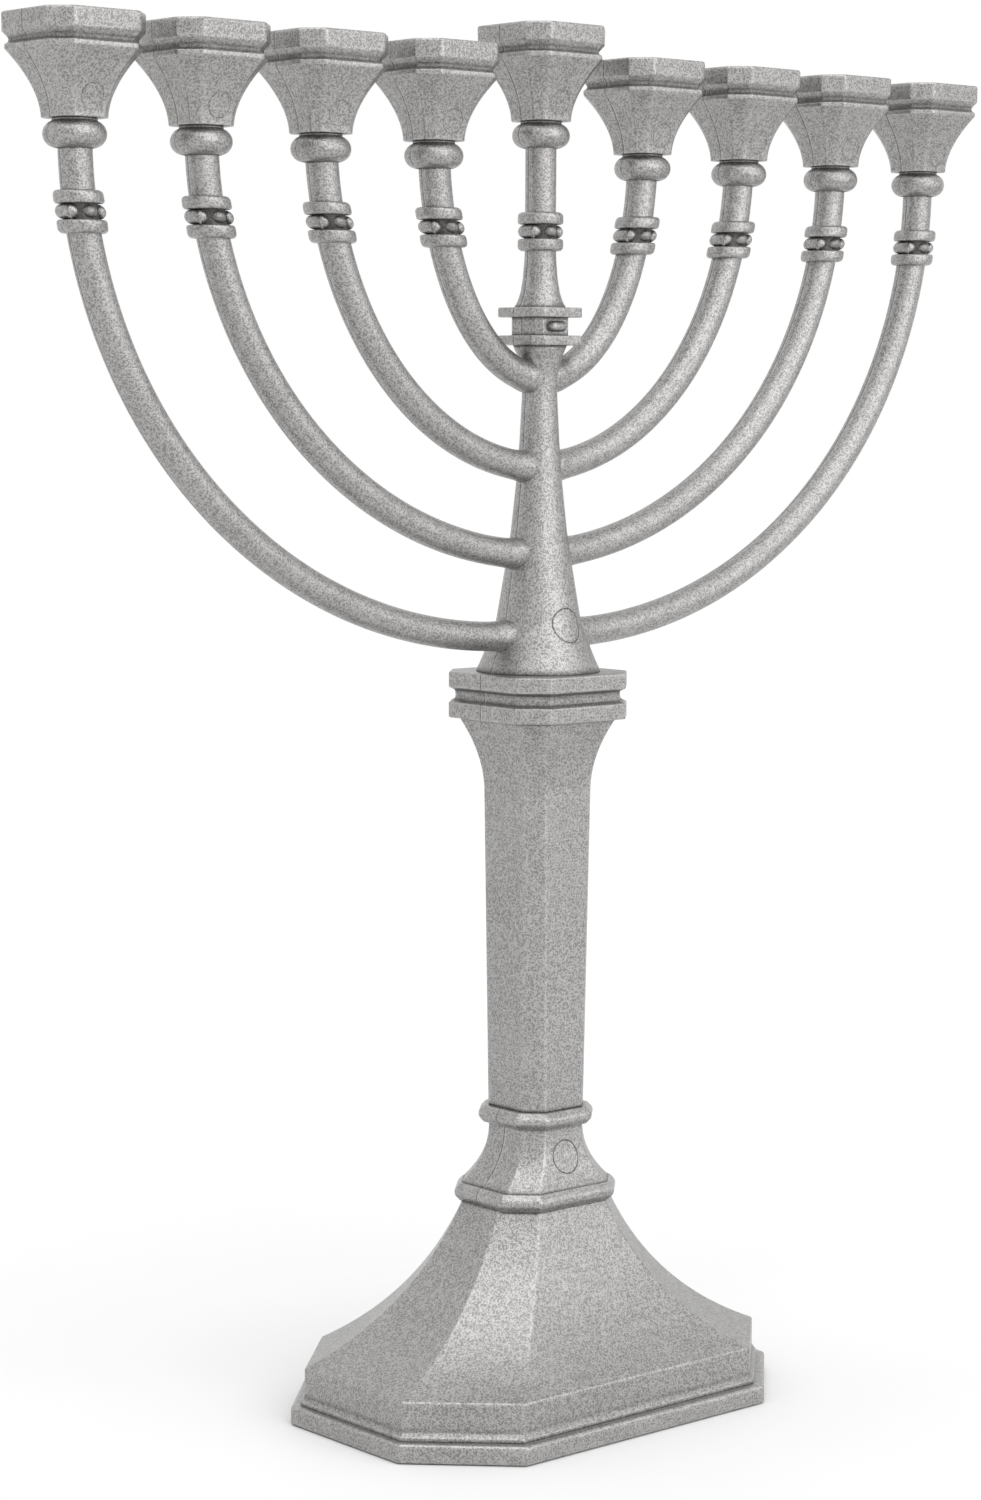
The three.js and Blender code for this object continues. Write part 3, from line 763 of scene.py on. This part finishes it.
@dataclass
class Pedestal:
    """Base plate, pads, hollow base, collars, neck, column and capital.

    An octagon is a piece's outline seen from above, and a span is its lowest and highest height.
    sweep_pull is the half-width and height that the base's sweep is drawn towards.
    """

    plate: Octagon = Octagon(46.1, 31.3, 16.4, 16.0)
    wall: Octagon = Octagon(43.9, 28.8, 15.6, 14.8)
    crest: Octagon = Octagon(13.85, 10.4, 5.6, 5.3)
    lower_band: Octagon = Octagon(14.3, 11.8, 5.2, 5.2)
    mid_band: Octagon = Octagon(9.5, 9.4, 4.0, 4.0)
    neck_foot: Octagon = Octagon(12.9, 10.8, 4.4, 4.4)
    neck_head: Octagon = Octagon(7.5, 7.7, 3.0, 3.0)
    column_foot: Octagon = Octagon(7.6, 7.75, 3.0, 3.0)
    column_shoulder: Octagon = Octagon(8.3, 8.35, 2.9, 2.9)
    column_head: Octagon = Octagon(11.6, 11.65, 2.85, 2.85)
    block: Octagon = Octagon(13.8, 13.85, 4.65, 4.65)
    plate_span: tuple[float, float] = (0.2, 3.7)
    shell_span: tuple[float, float] = (3.7, 38.7)
    lower_span: tuple[float, float] = (38.6, 41.95)
    neck_span: tuple[float, float] = (41.85, 53.1)
    mid_span: tuple[float, float] = (53.05, 56.25)
    column_span: tuple[float, float] = (56.2, 128.7)
    block_span: tuple[float, float] = (128.7, 137.2)
    wall_top: float = 10.5
    foot_reach: float = 0.7
    foot_height: float = 0.6
    cove_height: float = 1.6
    sweep_pull: tuple[float, float] = (22.9, 19.3)
    neck_power: float = 2.3
    neck_mark: PinMark = PinMark(0.0, 47.5, 3.0)
    flare_height: float = 14.0
    block_band: float = 2.85
    groove_depth: float = 0.95
    recess_radius: float = 8.5
    recess_top: float = 7.6
    round_rows: tuple[float, float] = (12.0, 20.0)
    pad_radius: float = 4.5

    def build(self, shop: Workshop) -> None:
        """Builds every piece of the pedestal.

        Args:
            shop: The workshop that makes and dresses them.
        """
        shop.piece("base_plate_cast", [self.plate_surface()], "base_plate")
        shop.piece("base_shell_cast", [self.shell_surface()], "base_shell")
        lower = self.band(self.lower_band, self.lower_span)
        shop.piece("lower_collar_cast", [lower], "lower_collar", seam=True)
        neck = self.neck_surface()
        shop.piece("pedestal_neck_cast", [neck], "pedestal_neck", seam=True, mark=self.neck_mark)
        middle = self.band(self.mid_band, self.mid_span)
        shop.piece("mid_collar_cast", [middle], "mid_collar", seam=True)
        shop.piece("column_cast", [self.column_surface()], "column")
        shop.piece("capital_cast", [self.block_surface()], "capital", seam=True)
        for node in ("tie_rod", "rod_nut", "rod_washer"):
            shop.carry(node)
        for place in ("front_left", "front_right", "rear_left", "rear_right"):
            self.pad(shop, f"pad_{place}")

    def plate_surface(self) -> Surface:
        """Flat plate with a round recess underneath.

        Between the two reaches of round_rows its rows turn from octagons into the recess's circles.

        Returns:
            The plate's surface.
        """
        low, high = self.plate_span
        a = self.plate.a
        recess = self.recess_radius
        circle, octagon = self.round_rows
        outline = soften([
            (0.6, self.recess_top, 0.0), (recess, self.recess_top, 0.4), (recess, low, 0.3),
            (a, low, 0.35), (a, high, 0.8), (a - 3.5, high, 0.0), (2.0, high, 0.0),
        ], step=1.2)
        sizes = self.plate.grown(np.maximum(outline.reach, 16.5))
        inside = np.clip((octagon - outline.reach) / (octagon - circle), 0, 1)
        sizes[:, 0] = outline.reach
        sizes[:, 1] = np.where(inside > 0, np.minimum(sizes[:, 1], outline.reach), sizes[:, 1])
        sizes[:, 2:] = np.minimum(sizes[:, 2:], 0.55 * sizes[:, :1])
        return faceted(sizes, outline, corner=1.2, across=6, roundness=inside)

    def shell_surface(self) -> Surface:
        """Cove, upright wall and hollow sweep.

        The sweep is a quadratic curve from the wall's top to the crest, pulled towards one point, and
        its octagons pass evenly from the wall's to the crest's. Its edges get little of the lightening
        for wear and painted highlight.

        Returns:
            The shell's surface.
        """
        low, high = self.shell_span
        share = np.linspace(0, 1, 60)[1:]
        near, middle, far = (1 - share) ** 2, 2 * share * (1 - share), share**2
        sweep_a = near * self.wall.a + middle * self.sweep_pull[0] + far * self.crest.a
        sweep_z = near * self.wall_top + middle * self.sweep_pull[1] + far * high
        sweep = [(float(a), float(z), 0.0) for a, z in zip(sweep_a, sweep_z)]
        foot = self.wall.a + self.foot_reach
        outline = soften([
            (30.0, low, 0.0), (foot, low, 0.2), (foot, low + self.foot_height, 0.3),
            (self.wall.a, low + self.cove_height, 1.2), (self.wall.a, self.wall_top, 0.6), *sweep,
        ], step=0.9)
        below = outline.height < self.wall_top
        sizes = self.crest.towards(self.wall, outline.reach)
        sizes[below] = self.wall.grown(outline.reach[below])
        outline.edge *= 0.25
        surface = faceted(sizes, outline, corner=0.9, across=8)
        surface.edge *= 0.4
        return surface

    def band(self, plan: Octagon, span: tuple[float, float]) -> Surface:
        """A collar with a rounded rim.

        Args:
            plan: Its octagon at its widest.
            span: Its lowest and highest heights.

        Returns:
            The collar's surface.
        """
        low, high = span
        outline = soften([
            (plan.a - 3.0, low, 0.0), (plan.a - 0.9, low, 0.4), (plan.a, low + 1.1, 1.4),
            (plan.a, high - 1.1, 1.4), (plan.a - 0.9, high, 0.4), (plan.a - 3.0, high, 0.0),
        ], step=0.4)
        return faceted(plan.grown(outline.reach), outline, corner=1.0, across=4)

    def neck_surface(self) -> Surface:
        """Neck that flares to its foot: the extra width falls off as a power of the height left.

        Returns:
            The neck's surface.
        """
        low, high = self.neck_span
        rise = np.linspace(0, 1, 40)
        reach = self.neck_head.a + (self.neck_foot.a - self.neck_head.a) * (1 - rise) ** self.neck_power
        height = low + rise * (high - low)
        outline = Profile(reach, height, np.zeros_like(rise), end_shade(height, 0.35))
        sizes = self.neck_head.towards(self.neck_foot, reach)
        return faceted(sizes, outline, corner=0.7, across=10)

    def column_surface(self) -> Surface:
        """Column that widens slightly, then flares as the square of the height under the capital.

        Returns:
            The column's surface.
        """
        low, high = self.column_span
        shoulder = high - self.flare_height
        shaft_z = np.r_[low, low + 0.3, low + 0.7, np.linspace(low + 1.2, shoulder, 34)]
        flare = np.linspace(0, 1, 30)[1:]
        shaft_a = np.interp(shaft_z, [low, shoulder], [self.column_foot.a, self.column_shoulder.a])
        flare_a = self.column_shoulder.a + (self.column_head.a - self.column_shoulder.a) * flare**2
        reach = np.r_[shaft_a, flare_a]
        height = np.r_[shaft_z, shoulder + flare * self.flare_height]
        sizes = np.vstack([
            self.column_foot.towards(self.column_shoulder, shaft_a),
            self.column_shoulder.towards(self.column_head, flare_a),
        ])
        outline = Profile(reach, height, np.zeros_like(height), end_shade(height, 0.35))
        return faceted(sizes, outline, corner=0.6, across=5)

    def block_surface(self) -> Surface:
        """Capital: two bands with a hollow groove between them.

        Returns:
            The capital's surface.
        """
        low, high = self.block_span
        a, band = self.block.a, self.block_band
        groove = a - self.groove_depth
        outline = soften([
            (a - 6.0, low, 0.0), (a, low, 0.35), (a, low + band, 0.3), (groove, low + band + 0.5, 0.5),
            (groove - 0.1, (low + high) / 2, 1.0), (groove, high - band - 0.5, 0.5),
            (a, high - band, 0.3), (a, high, 0.35), (a - 6.0, high, 0.0),
        ], step=0.45, fade=0.35)
        return faceted(self.block.grown(outline.reach), outline, corner=0.45, across=6)

    def pad(self, shop: Workshop, node: str) -> None:
        """One felt disc with a soft rim.

        Args:
            shop: The workshop that makes it.
            node: The node it stands for.
        """
        low, high = (np.array(corner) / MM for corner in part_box(node))
        middle = (low + high) / 2
        outline = soften([
            (0.4, low[2], 0.0), (self.pad_radius, low[2], 0.3), (self.pad_radius, high[2], 0.2),
            (0.4, high[2], 0.0),
        ])
        surface = lathe(outline, 40).leaned(0.0, (middle[0], middle[1], 0.0))
        shop.piece(f"{node}_felt", [surface], node, Slot.PAD)


@dataclass
class Trunk:
    """The round trunk, the knop on it and the stem of the middle light.

    boss is the length and the radius of the knop's bosses, whose axes lie boss_rise off the spool.
    """

    span: tuple[float, float] = (137.2, 196.8)
    flange: Octagon = Octagon(6.2, 6.3, 1.75, 1.75)
    knop_span: tuple[float, float] = (196.8, 203.6)
    flange_height: float = 1.75
    spool: float = 4.15
    boss: tuple[float, float] = (4.1, 1.0)
    boss_rise: float = 0.4
    stem_foot: float = 203.5
    stem_top: float = 233.4
    shank: float = 2.82
    mark: PinMark = PinMark(0.0, 146.0, 3.1)

    def build(self, shop: Workshop) -> None:
        """Builds the trunk, the knop and the stem.

        Args:
            shop: The workshop that makes them.
        """
        shop.piece("trunk_cast", [self.trunk_surface()], "trunk", seam=True, mark=self.mark)
        shop.piece("knop_cast", self.knop_surfaces(), "knop", seam=True)
        shop.piece("shamash_stem_cast", [self.stem_surface()], "shamash_stem", seam=True)

    def trunk_surface(self) -> Surface:
        """A skirt that narrows upwards and a cone that widens to the knop.

        Returns:
            The trunk's surface.
        """
        low, high = self.span
        outline = soften([
            (4.0, low, 0.0), (11.5, low, 0.1), (10.1, 140.4, 4.0), (7.9, 146.0, 14.0),
            (6.2, 156.3, 40.0), (5.2, 162.6, 60.0), (4.2, 172.2, 80.0), (3.65, 179.5, 60.0),
            (3.22, 188.2, 20.0), (3.35, 191.4, 6.0), (4.15, 194.9, 8.0), (4.95, high, 0.0),
            (2.0, high, 0.0),
        ], step=0.8)
        outline.edge[:] = 0.0
        # Painted shade at the trunk's foot, where it stands on the capital.
        outline.cavity[:] = np.exp(-(((outline.height - low) / 0.6) ** 2))
        return lathe(outline, 56)

    def knop_surfaces(self) -> list[Surface]:
        """Two thin flanges on a spool, with a pill-shaped boss on the front and on the rear.

        A boss is a circle carried along X, which shrinks at the ends as a ball's section does.

        Returns:
            The body and the two bosses.
        """
        low, high = self.knop_span
        a = self.flange.a
        inner_low, inner_high = low + self.flange_height, high - self.flange_height
        outline = soften([
            (3.0, low, 0.0), (a, low, 0.25), (a, inner_low, 0.25), (self.spool, inner_low, 0.2),
            (self.spool, inner_high, 0.2), (a, inner_high, 0.25), (a, high, 0.25), (3.0, high, 0.0),
        ], step=0.35, fade=0.3)
        body = faceted(self.flange.grown(outline.reach), outline, corner=0.4, across=4)
        middle = (low + high) / 2
        front = self.flange.b - self.flange.a + self.spool + self.boss_rise
        length, radius = self.boss
        angle = pole_angles(16)
        along = radius * np.sin(angle) + np.sign(angle) * (length / 2 - radius)
        pill = swept(np.stack([along, np.zeros_like(along)], axis=1), radius * np.cos(angle), 20)
        bosses = [pill.leaned(0.0, (0.0, side * front, middle)) for side in (-1, 1)]
        return [body, *bosses]

    def stem_surface(self) -> Surface:
        """Flared foot under a straight shank.

        Returns:
            The stem's surface.
        """
        foot, top = self.stem_foot, self.stem_top
        outline = soften([
            (2.0, foot, 0.0), (4.8, foot, 0.1), (4.15, foot + 1.2, 3.0), (3.6, foot + 2.8, 6.0),
            (3.2, foot + 5.2, 12.0), (2.92, foot + 8.6, 12.0), (self.shank, foot + 11.0, 8.0),
            (self.shank, top, 0.0), (1.0, top, 0.0),
        ], step=0.7)
        outline.edge[:] = 0.0
        # Painted shade at the stem's foot, where it sits on the knop.
        outline.cavity[:] = np.exp(-(((outline.height - foot) / 0.5) ** 2))
        return lathe(outline, 44)


@dataclass(frozen=True)
class Arc:
    """An arm's quarter ellipse: half its width, half its height, and the height of its centre."""

    width: float
    drop: float
    centre_z: float


@dataclass
class Light:
    """Knob and candle cup of one light.

    gap is the narrow step between them, where a seat shows, and mark_drop is the depth of the cup's
    pin mark under its rim.
    """

    name: str
    x: float
    rim_z: float
    cup_height: float = 16.95
    rim: Octagon = Octagon(9.8, 9.8, 3.4, 3.4)
    cove: float = 8.85
    lip: float = 9.42
    body_top: float = 9.12
    body_power: float = 1.8
    foot: float = 4.6
    mark_drop: float = 13.7
    gap: float = 0.3
    knob_radius: float = 5.25
    knob_height: float = 4.5
    knob_bulge: float = 2.35
    seat_radius: float = 3.75
    socket: float = 5.0
    socket_depth: float = 10.6

    def build(self, shop: Workshop) -> None:
        """Builds the knob and the cup.

        Args:
            shop: The workshop that makes them.
        """
        knob = self.knob_surface().leaned(0.0, (self.x, 0.0, 0.0))
        cup = self.cup_surface().leaned(0.0, (self.x, 0.0, 0.0))
        mark = PinMark(self.x, self.rim_z - self.mark_drop, 2.15, 0.45)
        shop.piece(f"{self.name}_knob_cast", [knob], f"{self.name}_knob", seam=True)
        shop.piece(f"{self.name}_cup_cast", [cup], f"{self.name}_cup", seam=True, mark=mark)

    def knob_surface(self) -> Surface:
        """Flattened round knob whose side is half an ellipse, under a thin seat.

        Returns:
            The knob's surface.
        """
        half = self.knob_height / 2
        top = self.rim_z - self.cup_height - self.gap
        bottom = top - self.knob_height
        quarter = math.pi / 2
        angle = np.linspace(-quarter, quarter, 26)
        reach = self.knob_radius - self.knob_bulge * (1 - np.cos(angle))
        height = bottom + half + half * np.sin(angle)
        seat = soften([
            (self.seat_radius, top - 0.1, 0.0), (self.seat_radius, top + 0.25, 0.1),
            (1.0, top + 0.25, 0.0),
        ], step=0.3)
        # Painted shade at the knob's bottom and top rim, and on the seat in the gap under the cup.
        sink = np.exp(-(((angle - quarter) / 0.25) ** 2)) + np.exp(-(((angle + quarter) / 0.2) ** 2))
        reach = np.r_[1.0, reach[:-2], seat.reach]
        height = np.r_[bottom, height[:-2], seat.height]
        cavity = np.r_[1.0, sink[:-2], np.full(len(seat.reach), 0.35)]
        return lathe(Profile(reach, height, np.zeros_like(reach), np.minimum(cavity, 1)), 48)

    def cup_surface(self) -> Surface:
        """Eight-sided body, lip, cove and rim outside; drip dish and round candle socket inside.

        The body's half-width grows from the foot as a power of the height. Inside the rim the rows
        turn from octagons into the socket's circle.

        Returns:
            The cup's surface.
        """
        top, rim = self.rim_z, self.rim.a
        low, floor = top - self.cup_height, top - self.socket_depth
        rise = np.linspace(0, 1, 26)[1:-1]
        body_a = self.foot + (self.body_top - self.foot) * rise**self.body_power
        body_z = low + rise * (self.cup_height - 6.4)
        body = [(float(a), float(z), 0.0) for a, z in zip(body_a, body_z)]
        outline = soften([
            (1.5, low, 0.0), (self.foot, low, 0.3), *body, (self.body_top + 0.03, top - 6.35, 0.25),
            (self.lip, top - 6.0, 0.2), (self.lip, top - 5.35, 0.25), (self.cove, top - 4.9, 0.5),
            (self.cove, top - 4.35, 0.6), (rim - 0.05, top - 3.25, 0.35), (rim, top - 0.05, 0.5),
            (8.5, top, 0.4), (7.6, top - 2.2, 2.0), (5.6, top - 3.1, 0.5),
            (self.socket, top - 3.3, 0.4), (self.socket, floor, 0.4), (0.8, floor, 0.0),
        ], step=0.55, fade=0.3)
        inside = np.arange(len(outline.reach)) > int(np.argmax(outline.height))
        roundness = np.where(inside, np.clip((7.8 - outline.reach) / 1.8, 0, 1), 0.0)
        corner = outline.reach * self.rim.cx / rim
        sizes = np.stack([outline.reach, outline.reach, corner, corner], axis=1)
        return faceted(sizes, outline, corner=0.9, across=5, roundness=roundness)


@dataclass
class Collar:
    """Two rings with a bead row between them, threaded on an arm or a stem.

    lean is how far X moves for each millimetre of height, so the rings stay level on a leaning arm.
    """

    name: str
    x: float
    z: float
    lean: float
    height: float = 7.0
    ring_height: float = 2.2
    radius: float = 4.15
    waist: float = 2.95
    bead_ring: float = 3.0
    bead_radius: float = 1.2
    bead_half_angle: float = 0.46
    ball_ring: float = 2.35
    ball_radius: float = 1.4
    # Darkening of the round beads: partly tarnish, partly painted shade between the rings.
    tarnish_and_shade: float = 0.35

    def build(self, shop: Workshop) -> None:
        """Builds the collar.

        Args:
            shop: The workshop that makes it.
        """
        centre = (self.x, 0.0, self.z)
        surfaces = [surface.leaned(self.lean, centre) for surface in self.surfaces()]
        shop.piece(f"{self.name}_collar_cast", surfaces, f"{self.name}_collar")

    def surfaces(self) -> list[Surface]:
        """The rings' turned outline with painted shade in its waist, the two round beads and the two
        long ones.

        Returns:
            The collar's surfaces, centred on its own middle.
        """
        half = self.height / 2
        inner = half - self.ring_height
        outline = soften([
            (2.0, -half, 0.0), (self.radius, -half, 1.0), (self.radius, -inner, 0.9),
            (self.waist, -inner, 0.15), (self.waist, inner, 0.15), (self.radius, inner, 0.9),
            (self.radius, half, 1.0), (2.0, half, 0.0),
        ], step=0.3, fade=0.35)
        body = lathe(outline, 44)
        between = np.abs(outline.height) < inner + 0.3
        # Painted shade in the waist between the two rings.
        waist = np.exp(-(((outline.reach - self.waist) / 0.6) ** 2)) * between
        body.cavity = np.broadcast_to(np.maximum(outline.cavity, waist)[:, None], body.edge.shape)
        body.edge = body.edge * 0.45
        size = (self.ball_radius, self.ball_radius, self.bead_radius)
        surfaces = [body]
        for side in (-1, 1):
            surfaces.append(ball((0.0, side * self.ball_ring, 0.0), size, self.tarnish_and_shade))
            surfaces.append(long_bead(self.bead_ring, self.bead_radius, self.bead_half_angle, side))
        return surfaces


@dataclass
class Arm:
    """A curved arm with its collar and its light.

    The bar starts inside the trunk, inner_x off its axis. skin_z and skin_radius are heights of the
    trunk and its radius there, where a small fillet begins that falls off along the bar.
    """

    side: Side
    pair: int
    arc: Arc
    spacing: float = 25.4
    top_radius: float = 2.86
    root_radius: float = 2.66
    collar_z: float = 217.3
    rim_z: float = 249.25
    top_z: float = 228.2
    inner_x: float = 1.2
    fillet: float = 0.35
    fillet_reach: float = 1.5
    skin_z: tuple[float, ...] = (137.2, 146.0, 156.3, 172.2, 188.6, 196.6)
    skin_radius: tuple[float, ...] = (11.5, 7.9, 6.2, 4.2, 3.2, 4.9)

    @property
    def name(self) -> str:
        """The arm's name in the part."""
        return f"{self.side.name.lower()}_{self.pair}"

    def point(self, angle: np.ndarray) -> np.ndarray:
        """Points of the ellipse at angles below its upright end, as (x, z) rows."""
        x = self.pair * self.spacing - self.arc.width * (1 - np.cos(angle))
        z = self.arc.centre_z - self.arc.drop * np.sin(angle)
        return np.stack([self.side.value * x, z], axis=-1)

    def build(self, shop: Workshop) -> None:
        """Builds the arm's bar, its collar and its light.

        Args:
            shop: The workshop that makes them.
        """
        reach = self.pair * self.spacing
        last = math.acos((self.inner_x - reach + self.arc.width) / self.arc.width)
        first = math.asin(max(self.arc.centre_z - self.top_z, 0.0) / self.arc.drop)
        share = np.linspace(0, 1, 40 + 26 * self.pair)
        path = self.point(last + (first - last) * share)
        radius = self.root_radius + (self.top_radius - self.root_radius) * share
        skin = np.interp(path[:, 1], self.skin_z, self.skin_radius)
        outside = np.maximum(np.abs(path[:, 0]) - skin, 0)
        radius += self.fillet * np.exp(-outside / self.fillet_reach)
        shop.piece(f"{self.name}_arm_cast", [swept(path, radius)], f"{self.name}_arm", seam=True)
        angle = math.asin((self.arc.centre_z - self.collar_z) / self.arc.drop)
        lean = self.side.value * self.arc.width / self.arc.drop * math.tan(angle)
        x, z = self.point(np.array(angle))
        Collar(self.name, float(x), float(z), lean).build(shop)
        Light(self.name, self.side.value * reach, self.rim_z).build(shop)


@dataclass
class Branches:
    """Four pairs of arms and the raised middle light."""

    arcs: tuple[Arc, ...] = (
        Arc(25.5, 41.8, 232.6), Arc(52.6, 58.6, 233.1), Arc(77.9, 73.2, 231.8), Arc(94.1, 85.9, 229.9),
    )
    middle_collar_z: float = 217.3
    middle_rim_z: float = 254.0

    def build(self, shop: Workshop) -> None:
        """Builds every arm and light.

        Args:
            shop: The workshop that makes them.
        """
        for side in Side:
            for pair, arc in enumerate(self.arcs, start=1):
                Arm(side, pair, arc).build(shop)
        Collar("shamash", 0.0, self.middle_collar_z, 0.0).build(shop)
        Light("shamash", 0.0, self.middle_rim_z).build(shop)


def direction(bearing: float, height: float) -> Vector:
    """The way from the object to a place: degrees from straight ahead of it, and above the floor."""
    turn, rise = math.radians(bearing), math.radians(height)
    return Vector((math.sin(turn) * math.cos(rise), -math.cos(turn) * math.cos(rise), math.sin(rise)))


@dataclass(frozen=True)
class Softbox:
    """A very wide, very far lamp, which lights the whole floor evenly.

    Bearing (from straight ahead towards +X), height and width are degrees, power is watts a square
    metre.
    """

    name: str
    bearing: float
    height: float
    width: float
    power: float

    def place(self) -> None:
        """Adds the lamp to the scene."""
        data = bpy.data.lights.new(self.name, "SUN")
        data.angle = math.radians(self.width)
        data.energy = self.power
        made = bpy.data.objects.new(self.name, data)
        way = direction(self.bearing, self.height)
        made.rotation_euler = (-way).to_track_quat("-Z", "Y").to_euler()
        bpy.context.scene.collection.objects.link(made)


@dataclass
class Studio:
    """Pale floor, soft lights and the camera."""

    aim: tuple[float, float, float] = (-0.0066, 0.0057, 0.1225)
    distance: float = 0.6375
    azimuth: float = -41.08
    elevation: float = 6.005
    roll: float = 0.226
    lens: float = 82.81
    floor_grey: float = 0.72
    floor_half: float = 3.0
    lamps: tuple[Softbox, ...] = (
        Softbox("top", -50.0, 72.0, 58.0, 0.95), Softbox("front", 8.0, 20.0, 70.0, 1.35),
    )

    def build(self) -> None:
        """Sets up the floor, the sky, the lights and the camera."""
        self.floor()
        self.sky()
        for lamp in self.lamps:
            lamp.place()
        self.camera()
        bpy.context.scene.view_settings.view_transform = "Standard"

    def floor(self) -> None:
        """A wide pale floor, not part of the object."""
        half = self.floor_half
        mesh = bpy.data.meshes.new("floor")
        corners = [(-half, -half, 0.0), (half, -half, 0.0), (half, half, 0.0), (-half, half, 0.0)]
        mesh.from_pydata(corners, [], [(0, 1, 2, 3)])
        made = bpy.data.objects.new("floor", mesh)
        bpy.context.scene.collection.objects.link(made)
        shader = Shader("floor_white")
        cloud = shader.noise(60.0, 2.0)
        base = shader.blend(cloud, grey(self.floor_grey - 0.01), grey(self.floor_grey + 0.01))
        mesh.materials.append(shader.finish(Base_Color=base, Roughness=0.9))

    def sky(self) -> None:
        """Even white light from all round."""
        world = bpy.data.worlds.new("studio")
        world.use_nodes = True
        background = next(n for n in world.node_tree.nodes if n.type == "BACKGROUND")
        background.inputs[0].default_value = (1.0, 1.0, 1.0, 1.0)
        background.inputs[1].default_value = 1.0
        bpy.context.scene.world = world

    def camera(self) -> None:
        """The camera, placed by its bearing, height angle and distance from the point it looks at."""
        back = direction(self.azimuth, self.elevation)
        data = bpy.data.cameras.new("camera")
        data.lens = self.lens
        made = bpy.data.objects.new("camera", data)
        roll = Matrix.Rotation(math.radians(self.roll), 3, "Z")
        spin = (-back).to_track_quat("-Z", "Y").to_matrix() @ roll
        place = Vector(self.aim) + back * self.distance
        made.matrix_world = Matrix.Translation(place) @ spin.to_4x4()
        bpy.context.scene.collection.objects.link(made)
        bpy.context.scene.camera = made


def main() -> None:
    """Builds the scene."""
    logging.basicConfig(level=logging.INFO, format="%(name)s: %(message)s")
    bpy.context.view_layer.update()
    shop = Workshop()
    Pedestal().build(shop)
    Trunk().build(shop)
    Branches().build(shop)
    Studio().build()


if __name__ == "__main__":
    main()
